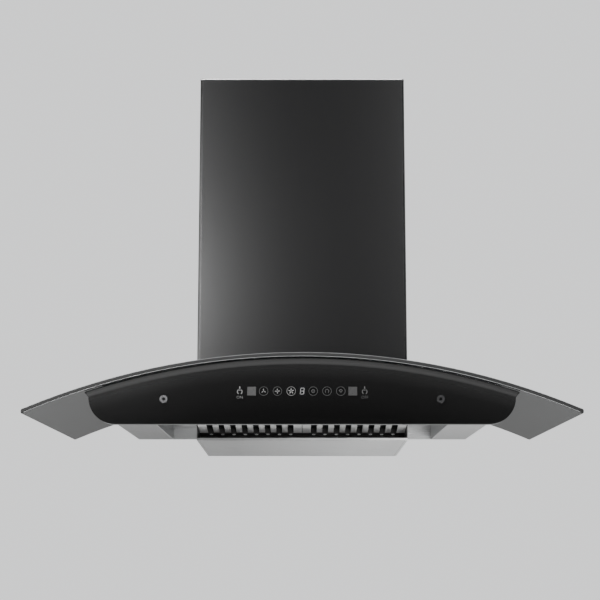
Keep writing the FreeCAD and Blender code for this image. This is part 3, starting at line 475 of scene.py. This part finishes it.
def arrow_sign(x):
    """An arrowhead that points down, under a bar."""
    top = key_z + ARROW_RISE
    shoulder = top + ARROW_STROKE
    tip = key_z - ARROW_DROP
    left = [(x - ARROW_HALF, top), (x - ARROW_HALF + ARROW_STROKE, shoulder),
            (x, tip + ARROW_STROKE * ARROW_TIP_SHARE), (x, tip)]
    right = [(2 * x - px, pz) for px, pz in left]
    bar_half = ARROW_HALF * ARROW_BAR_SHARE
    return [left, right, rectangle(x - bar_half, shoulder, x + bar_half, shoulder + ARROW_STROKE)]


def hand_sign(x):
    """A raised finger over an open, cupped hand."""
    finger = ellipse(x, key_z + FINGER_RISE, *FINGER_HALF)
    knuckle = ellipse(x, key_z + KNUCKLE_RISE, *KNUCKLE_HALF)
    palm = arc_band(x, key_z - PALM_DROP, PALM_RADIUS, PALM_WIDTH, PALM_START, PALM_END, SIGN_STEPS)
    return [finger, knuckle] + palm


def digit_segments():
    """The seven bars of a lit digit."""
    half_w = DIGIT_WIDTH / 2 - SEGMENT / 2
    half_h = DIGIT_HEIGHT / 2 - SEGMENT / 2
    cut = SEGMENT / 2
    gap = SEGMENT * SEGMENT_GAP_SHARE

    def bar(x0, z0, x1, z1):
        """Six-sided segment between two corners of the digit."""
        along = Vector((x1 - x0, z1 - z0)).normalized()
        side = Vector((-along.y, along.x)) * cut
        a = Vector((x0, z0)) + along * gap
        b = Vector((x1, z1)) - along * gap
        points = [a, a + along * cut + side, b - along * cut + side,
                  b, b - along * cut - side, a + along * cut - side]
        return [(p.x + p.y * DIGIT_LEAN, key_z + p.y) for p in points]

    level = [(-half_w, z, half_w, z) for z in (half_h, 0, -half_h)]
    upright = [(x, z, x, z + half_h) for x in (-half_w, half_w) for z in (-half_h, 0)]
    return [bar(*corners) for corners in level + upright]


def legend(name, outlines, tone):
    """Thin plates that stand on the panel's face."""
    mesh = prisms(name, outlines, face_y - LEGEND_OUT, face_y + LEGEND_IN)
    new_piece(name, mesh, tone)


def word(name, text, x, tone):
    """Small flat word under a hand, standing on the panel's face."""
    curve = bpy.data.curves.new(name, "FONT")
    curve.body = text
    curve.size = WORD_SIZE
    curve.align_x = "CENTER"
    curve.offset = -WORD_THIN
    curve.extrude = (LEGEND_OUT + LEGEND_IN) / 2
    curve.resolution_u = WORD_STEPS
    mesh = mesh_of_curve(curve, name)
    place = Matrix.Translation((x, face_y - (LEGEND_OUT - LEGEND_IN) / 2, key_z - WORD_DROP))
    mesh.transform(place @ Matrix.Rotation(math.pi / 2, 4, "X"))
    new_piece(name, mesh, tone)


def make_keys():
    """The six touch keys, each a ring round its sign: three speeds on the left, the rest on the right."""
    near, middle, far = KEY_X
    near_reach, middle_reach, far_reach = FAN_REACH
    keys = (("key_low", -far, fan_sign(-far, 3, far_reach), "legend_pale"),
            ("key_medium", -middle, fan_sign(-middle, 4, middle_reach), "legend_pale"),
            ("key_high", -near, fan_sign(-near, 5, near_reach), "legend_white"),
            ("key_lamp", near, lamp_sign(near), "legend_grey"),
            ("key_power", middle, power_sign(middle), "legend_grey"),
            ("key_clean", far, arrow_sign(far), "legend_grey"))
    for name, x, outlines, tone in keys:
        ring = arc_band(x, key_z, RING_RADIUS, RING_WIDTH, 0, 360, RING_STEPS)
        legend(name + "_ring", ring, "legend_pale" if tone == "legend_white" else "legend_faint")
        legend(name, outlines, tone)


def make_hands():
    """A hand with its word on either side of the keys."""
    for state, x, tone in (("on", -HAND_X, "legend_pale"), ("off", HAND_X, "legend_grey")):
        legend("hand_" + state, hand_sign(x), tone)
        word("word_" + state, state.upper(), x, tone)


def make_digit():
    """The lit digit on the display."""
    mesh = prisms("digit", digit_segments(), display_low.y - LEGEND_OUT, display_low.y + LEGEND_IN)
    new_piece("display_digit", mesh, "legend_white")


# The glass's edge
ARRIS_INSET = 0.7 * MM
ARRIS_BEAD = 0.4 * MM
ARRIS_END = 6.0 * MM
ARRIS_STEPS = 72
GROUND_DEPTH = 2.4 * MM
GROUND_FACING = -0.3


def make_glass_arrises():
    """Lines of painted glint along the two rounded rims of the glass's front edge."""
    half = glass_high.x - ARRIS_END
    places = [half * (2 * i / ARRIS_STEPS - 1) for i in range(ARRIS_STEPS + 1)]
    for name, radius, look in (("glass_arris_top", GLASS_RADIUS - ARRIS_INSET, "arris_top_painted_glint"),
                               ("glass_arris_low", under_radius + ARRIS_INSET, "arris_low_painted_glint")):
        points = [(x, glass_low.y + ARRIS_INSET, arc_height(radius, x)) for x in places]
        bead(name, points, ARRIS_BEAD, look)


def grind_glass_edge():
    """Gives the front edge of the glass its dull ground face."""
    mesh = nodes["glass_canopy"].data
    mesh.materials.append(materials["ground_edge"])
    for face in mesh.polygons:
        if face.center.y < glass_low.y + GROUND_DEPTH and face.normal.y < GROUND_FACING:
            face.material_index = 1


# The hem of the duct cover
HEM_BEAD = 1.1 * MM
HEM_SINK = 0.5 * MM
HEM_STEPS = 6
COVER_BEND = 5.0 * MM


def make_cover_hem():
    """Bare rounded edge round the top of the duct cover, whose light steel is also a painted highlight."""
    low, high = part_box("duct_cover_lower")
    z = high.z - HEM_BEAD
    left, right, front = low.x + HEM_SINK, high.x - HEM_SINK, low.y + HEM_SINK
    points = [(left, high.y, z)]
    for centre_x, start in ((left + COVER_BEND, 180), (right - COVER_BEND, 270)):
        for step in range(HEM_STEPS + 1):
            angle = math.radians(start + 90 * step / HEM_STEPS)
            points.append((centre_x + COVER_BEND * math.cos(angle),
                           front + COVER_BEND + COVER_BEND * math.sin(angle), z))
    points.append((right, high.y, z))
    bead("cover_hem", points, HEM_BEAD, "bare_edge_and_highlight")


# Strips of painted shade and eyelets of the filters
FILTER_SLOPE = 0.19
FILTER_HALF_THICK = 6.0 * MM
FILTER_PITCH = 20.1 * MM
FILTER_SLOTS = 8
RAIL_START = 3.0 * MM
RAIL_WIDTH = 15.0 * MM
STRIP_THICK = 0.4 * MM
SKIN_CLEAR = 1.0 * MM
EYELET_RADIUS = 2.3 * MM
EYELET_BEAD = 0.8 * MM
EYELET_STEPS = 16


def blocks_mesh(name, blocks, place):
    """Mesh of blocks given across, down and out of a filter, and laid in its place."""
    bm = bmesh.new()
    for x0, x1, v0, v1, w0, w1 in blocks:
        made = bmesh.ops.create_cube(bm, size=1.0)["verts"]
        bmesh.ops.scale(bm, vec=(x1 - x0, v1 - v0, w1 - w0), verts=made)
        bmesh.ops.translate(bm, vec=((x0 + x1) / 2, -(v0 + v1) / 2, (w0 + w1) / 2), verts=made)
    bm.transform(place)
    return mesh_from(bm, name)


def make_filter_trim():
    """Dark strip of painted shade along each filter's lower rail, with a bright eyelet under every slot."""
    under = -FILTER_HALF_THICK
    rail_end = RAIL_START + RAIL_WIDTH
    for joint in frame["record"]["behaviour"]["joints"]:
        if not joint["name"].endswith("_tilt"):
            continue
        body = joint["child"]
        low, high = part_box("filter_frame_" + body.split("_")[1])
        tilt = Matrix.Rotation(-math.atan(FILTER_SLOPE), 4, "X")
        place = Matrix.Translation((0, joint["pos_m"][1], joint["pos_m"][2])) @ tilt
        blocks = [(low.x, high.x, RAIL_START, rail_end, under - STRIP_THICK, under),
                  (low.x, high.x, rail_end, rail_end + STRIP_THICK,
                   under - STRIP_THICK, FILTER_HALF_THICK - SKIN_CLEAR)]
        # Thin dark strip in the rubber finish, painted shade where the lower rail lies in shadow
        shade_strip_mesh = blocks_mesh(body + "_shade_strip", blocks, place)
        new_piece(body + "_shade_strip", shade_strip_mesh, "seal_rubber", body)
        for slot in range(FILTER_SLOTS):
            x = (low.x + high.x) / 2 + FILTER_PITCH * (slot - (FILTER_SLOTS - 1) / 2)
            circle = ellipse(x, -RAIL_START - RAIL_WIDTH / 2, EYELET_RADIUS, EYELET_RADIUS, EYELET_STEPS)
            ring = [place @ Vector((px, py, under - STRIP_THICK)) for px, py in circle]
            name = f"{body}_eyelet_{slot + 1}"
            bead(name, ring, EYELET_BEAD, "baffle_steel", body, closed=True)


# The crease of the tray, drawn as a line of painted shade
CREASE_INSET = 4.5 * MM
CREASE_BEAD = 0.4 * MM
CREASE_PROUD = 0.08 * MM
TRAY_FALL = 7.0 * MM


def make_tray_crease():
    """Pressed line that runs inside the edges of the tray's underside, in dark steel as painted shade."""
    low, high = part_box("oil_tray")
    left, right = low.x + CREASE_INSET, high.x - CREASE_INSET
    front, rear = low.y + CREASE_INSET, high.y - CREASE_INSET

    def under(x, y):
        """Point of the line below x, y, on the sloping floor."""
        fall = TRAY_FALL * (high.y - y) / (high.y - low.y)
        return (x, y, low.z + fall + CREASE_BEAD - CREASE_PROUD)

    points = [under(left, front), under(left, rear), under(right, rear), under(right, front)]
    bead("tray_crease", points, CREASE_BEAD, "shaded_steel", "tray", closed=True)


# The band of painted sheen along the panel's top
BAND_HALF_LOW = 341.0 * MM
BAND_HALF_TOP = 348.0 * MM
BAND_START = 8.0
BAND_HEIGHT = 13.0 * MM
BAND_DEPTH = 8.0 * MM
BAND_GAP = 1.5 * MM
BAND_PROUD = 0.7 * MM
BAND_COLUMNS = 80
BAND_ROWS = 8


def band_point(across, turn):
    """Place on the band: from -1 to 1 across it, and by the turn of its rolled face."""
    rise, out = math.sin(turn), math.cos(turn)
    x = across * (BAND_HALF_LOW + (BAND_HALF_TOP - BAND_HALF_LOW) * rise)
    radius = under_radius - BAND_GAP - BAND_HEIGHT * (1 - rise) + BAND_PROUD * rise
    return (x, face_y + BAND_DEPTH * (1 - out) - BAND_PROUD * out, arc_height(radius, x))


def make_panel_band():
    """Satin band with a painted sheen, which follows the rolled top of the control panel."""
    turns = [math.radians(BAND_START + (90 - BAND_START) * j / BAND_ROWS) for j in range(BAND_ROWS + 1)]
    bm = bmesh.new()
    columns = [[bm.verts.new(band_point(2 * i / BAND_COLUMNS - 1, turn)) for turn in turns]
               for i in range(BAND_COLUMNS + 1)]
    for near, far in zip(columns, columns[1:]):
        for j in range(BAND_ROWS):
            bm.faces.new((near[j], far[j], far[j + 1], near[j + 1])).smooth = True
    bmesh.ops.recalc_face_normals(bm, faces=bm.faces)
    new_piece("panel_band_painted_sheen", mesh_from(bm, "panel_band_painted_sheen"), "panel_band_painted_sheen")


# Painted shade in the sockets of the panel screws, and soft edges of the sheet
SOCKET_SHADE_RADIUS = 2.5 * MM
SOCKET_SHADE_PROUD = 0.1 * MM
SOCKET_SHADE_STEPS = 24
EDGE_WIDTHS = {"oil_tray": 0.3 * MM, "body_pan": 0.4 * MM, "suction_box": 0.3 * MM,
               "duct_cover_lower": 0.3 * MM, "duct_cover_upper": 0.3 * MM,
               "front_panel": 0.8 * MM, "blower_housing": 0.4 * MM}
EDGE_STEPS = 2
EDGE_ANGLE = 40


def make_screw_socket_shade():
    """Dark discs of painted shade in the sockets of the two panel screws' heads."""
    low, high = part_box("panel_screws")
    head = (high.z - low.z) / 2
    z = (low.z + high.z) / 2
    discs = [ellipse(x, z, SOCKET_SHADE_RADIUS, SOCKET_SHADE_RADIUS, SOCKET_SHADE_STEPS)
             for x in (head - high.x, high.x - head)]
    mesh = prisms("screw_socket_shade", discs, low.y - SOCKET_SHADE_PROUD, low.y + SOCKET_SHADE_PROUD)
    new_piece("screw_socket_shade", mesh, "black_gloss")


def soften_edges():
    """Small bevels that catch the light along the solids' sharp edges."""
    for node, width in EDGE_WIDTHS.items():
        bevel = nodes[node].modifiers.new("soft_edges", "BEVEL")
        bevel.width = width
        bevel.segments = EDGE_STEPS
        bevel.limit_method = "ANGLE"
        bevel.angle_limit = math.radians(EDGE_ANGLE)
        bevel.harden_normals = True


# Camera, floor, surround and lights, set for the photograph's view
PHOTO = 600
FOCAL_PX = 1245.0
CENTRE_X = 302.2
PITCH = 8.2
SHIFT_UP = 0.12
SENSOR = 36.0
EYE_GAP = 1.974
EYE_DROP = 0.317
FAR_CLIP = 50.0
FLOOR_Z = -0.95
FLOOR_HALF = 6.0
FLOOR_COLOUR = (0.8, 0.8, 0.79)
FLOOR_ROUGHNESS = 0.7
FRONT_SHADE = (0.03, 0.03, 0.031)
REAR_SHADE = (0.5, 0.505, 0.51)
BRIGHT_SIDE = (0, 1, -0.7)
BRIGHT_BAND = (-0.6, 0.3)
BACKDROP = (1.15, 1.16, 1.17)

# Name, place, target, width and height of each soft light in metres, and its power in watts
LIGHTS = (("key_left", (-0.75, -2.6, 0.41), (-0.12, -0.3, 0.0), 0.4, 0.45, 27),
          ("key_high", (-0.75, -2.6, 1.02), (-0.12, -0.3, 0.2), 0.4, 0.67, 8),
          ("fill_right", (0.75, -2.6, 0.85), (0.15, -0.3, 0.1), 0.4, 1.4, 9),
          ("rim_left", (-2.0, -1.4, 0.2), (-0.2, -0.25, 0.1), 2.0, 1.5, 62),
          ("rim_right", (2.2, -0.45, 0.3), (0.2, -0.2, 0.05), 0.6, 1.6, 12),
          ("soft_top", (0, -1.0, 1.6), (0, -1.05, FLOOR_Z), 2.0, 0.7, 60),
          ("low_front", (0.9, -2.4, -0.7), (-0.2, -0.2, -0.3), 1.0, 0.25, 18))


def make_camera():
    """Camera in front of the hood and below its glass, looking up as in the photograph."""
    data = bpy.data.cameras.new("camera")
    camera = bpy.data.objects.new("camera", data)
    bpy.context.scene.collection.objects.link(camera)
    bpy.context.scene.camera = camera
    data.sensor_width = SENSOR
    data.lens = FOCAL_PX * SENSOR / PHOTO
    data.shift_x = (PHOTO / 2 - CENTRE_X) / PHOTO
    data.shift_y = SHIFT_UP
    data.clip_end = FAR_CLIP
    camera.location = (0, glass_low.y - EYE_GAP, glass_high.z - EYE_DROP)
    camera.rotation_euler = (math.radians(90 + PITCH), 0, 0)


def make_surround():
    """Soft surround that is darker in front of the hood, with a pale backdrop for the camera."""
    world = bpy.data.worlds.new("studio")
    bpy.context.scene.world = world
    world.use_nodes = True
    tree = world.node_tree
    surround = tree.nodes["Background"]
    surround.inputs["Strength"].default_value = 1.0
    place = tree.nodes.new("ShaderNodeTexCoord")
    toward = vector_math(tree, "DOT_PRODUCT", place.outputs["Generated"], BRIGHT_SIDE)
    shade = map_range(tree, toward.outputs["Value"], BRIGHT_BAND)
    shade.interpolation_type = "SMOOTHSTEP"
    mix = colour_mix(tree, shade.outputs["Result"], FRONT_SHADE, REAR_SHADE)
    ray = tree.nodes.new("ShaderNodeLightPath")
    backdrop = colour_mix(tree, ray.outputs["Is Camera Ray"], FRONT_SHADE, BACKDROP)
    tree.links.new(mix.outputs["Result"], backdrop.inputs["A"])
    tree.links.new(backdrop.outputs["Result"], surround.inputs["Color"])


def make_floor():
    """Pale floor that can't be seen from below."""
    mesh = bpy.data.meshes.new("floor")
    corners = [(x, y, FLOOR_Z) for x, y in rectangle(-FLOOR_HALF, -FLOOR_HALF, FLOOR_HALF, FLOOR_HALF)]
    mesh.from_pydata(corners, [], [(0, 1, 2, 3)])
    floor = bpy.data.objects.new("floor", mesh)
    bpy.context.scene.collection.objects.link(floor)
    material, shader = node_material("floor", FLOOR_COLOUR, 0.0, FLOOR_ROUGHNESS)
    tree = material.node_tree
    side = tree.nodes.new("ShaderNodeNewGeometry")
    clear = tree.nodes.new("ShaderNodeBsdfTransparent")
    one_way = tree.nodes.new("ShaderNodeMixShader")
    tree.links.new(side.outputs["Backfacing"], one_way.inputs["Fac"])
    tree.links.new(shader.outputs["BSDF"], one_way.inputs[1])
    tree.links.new(clear.outputs["BSDF"], one_way.inputs[2])
    surface = next(node for node in tree.nodes if node.type == "OUTPUT_MATERIAL")
    tree.links.new(one_way.outputs["Shader"], surface.inputs["Surface"])
    mesh.materials.append(material)


def make_lights():
    """Soft rectangular lights that the camera doesn't see."""
    for name, place, target, width, height, power in LIGHTS:
        data = bpy.data.lights.new(name, "AREA")
        data.shape = "RECTANGLE"
        data.size = width
        data.size_y = height
        data.energy = power
        lamp = bpy.data.objects.new(name, data)
        lamp.location = place
        lamp.rotation_euler = (Vector(target) - Vector(place)).to_track_quat("-Z", "Y").to_euler()
        lamp.visible_camera = False
        bpy.context.scene.collection.objects.link(lamp)


dress_nodes()
soften_edges()
make_keys()
make_hands()
make_digit()
make_glass_arrises()
grind_glass_edge()
make_cover_hem()
make_filter_trim()
make_tray_crease()
make_panel_band()
make_screw_socket_shade()
make_camera()
make_surround()
make_floor()
make_lights()
